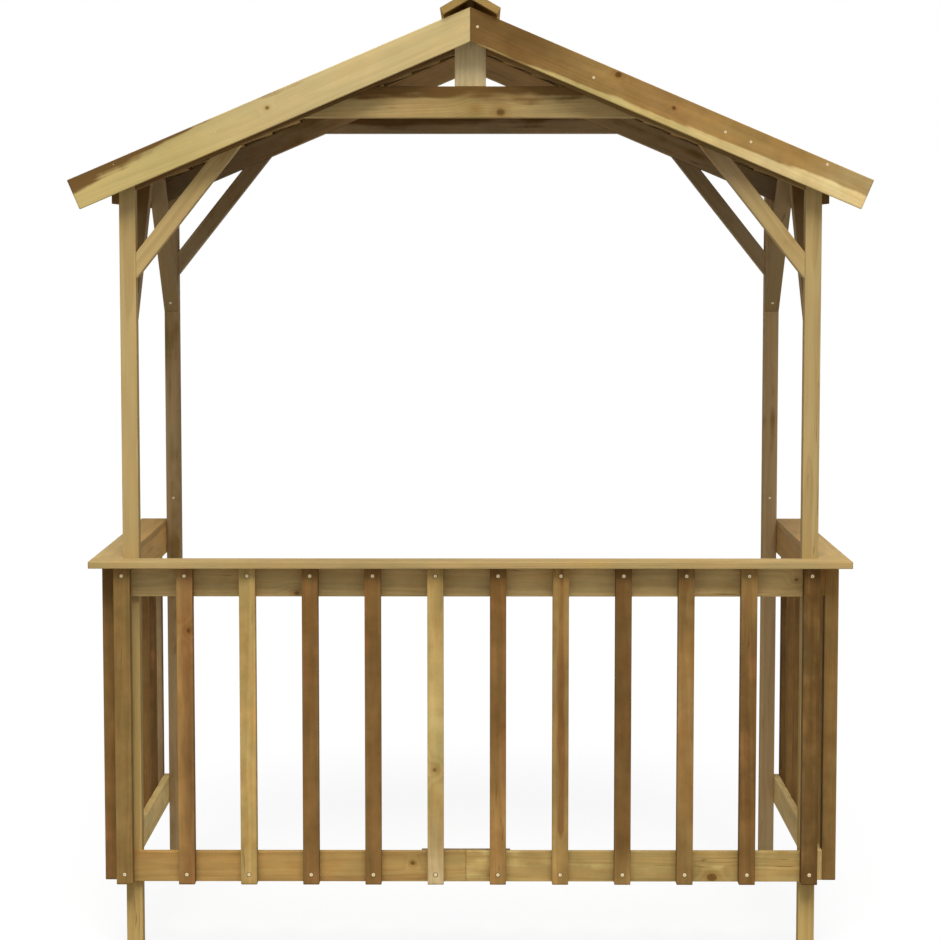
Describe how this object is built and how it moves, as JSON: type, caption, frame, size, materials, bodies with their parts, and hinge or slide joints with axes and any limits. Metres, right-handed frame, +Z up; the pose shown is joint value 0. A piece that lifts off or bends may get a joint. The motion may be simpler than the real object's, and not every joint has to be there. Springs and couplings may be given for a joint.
{
  "type": "open barbecue shelter",
  "caption": "Open timber barbecue shelter: four posts under a pitched board roof, with a counter on slatted balustrades round three sides and the back open as the way in.",
  "frame": {"origin": "centre of the outer box, on the ground under the four posts", "axes": "+Z up; +Y from the front counter towards the open back; +X to the right, seen from the front"},
  "size_m": [1.804, 1.007, 2.196],
  "materials": {
    "post_timber": "planed softwood, pressure treated, pale greenish tan",
    "roof_timber": "planed softwood, pressure treated, olive brown",
    "roof_board": "sawn feather edge board, pressure treated",
    "bargeboard": "planed softwood board, knotty, pale yellow to brown",
    "ridge_cap": "planed softwood board",
    "counter_board": "planed softwood board with greyish cut ends",
    "rail_board": "planed softwood board, olive brown",
    "baluster": "planed softwood, each piece a little different in tint",
    "screw_head": "yellow passivated countersunk screw head"
  },
  "bodies": {
    "root": {"front_left_post": "post_timber", "front_right_post": "post_timber", "rear_left_post": "post_timber", "rear_right_post": "post_timber", "front_left_rafter": "roof_timber", "front_right_rafter": "roof_timber", "rear_left_rafter": "roof_timber", "rear_right_rafter": "roof_timber", "front_tie_beam": "roof_timber", "rear_tie_beam": "roof_timber", "front_king_post": "roof_timber", "rear_king_post": "roof_timber", "front_left_gable_brace": "post_timber", "front_right_gable_brace": "post_timber", "rear_left_gable_brace": "post_timber", "rear_right_gable_brace": "post_timber", "front_left_side_brace": "post_timber", "front_right_side_brace": "post_timber", "rear_left_side_brace": "post_timber", "rear_right_side_brace": "post_timber", "left_eaves_rail": "roof_timber", "right_eaves_rail": "roof_timber", "ridge_board": "roof_timber", "left_roof_boards": "roof_board", "right_roof_boards": "roof_board", "left_ridge_cap": "ridge_cap", "right_ridge_cap": "ridge_cap", "front_left_bargeboard": "bargeboard", "front_right_bargeboard": "bargeboard", "rear_left_bargeboard": "bargeboard", "rear_right_bargeboard": "bargeboard", "front_counter_board": "counter_board", "left_counter_board": "counter_board", "right_counter_board": "counter_board", "front_top_rail": "rail_board", "left_top_rail": "rail_board", "right_top_rail": "rail_board", "front_left_bottom_rail": "rail_board", "front_right_bottom_rail": "rail_board", "bottom_rail_splice": "rail_board", "left_bottom_rail": "rail_board", "right_bottom_rail": "rail_board", "front_baluster_row": "baluster", "left_baluster_row": "baluster", "right_baluster_row": "baluster"}
  },
  "joints": []
}
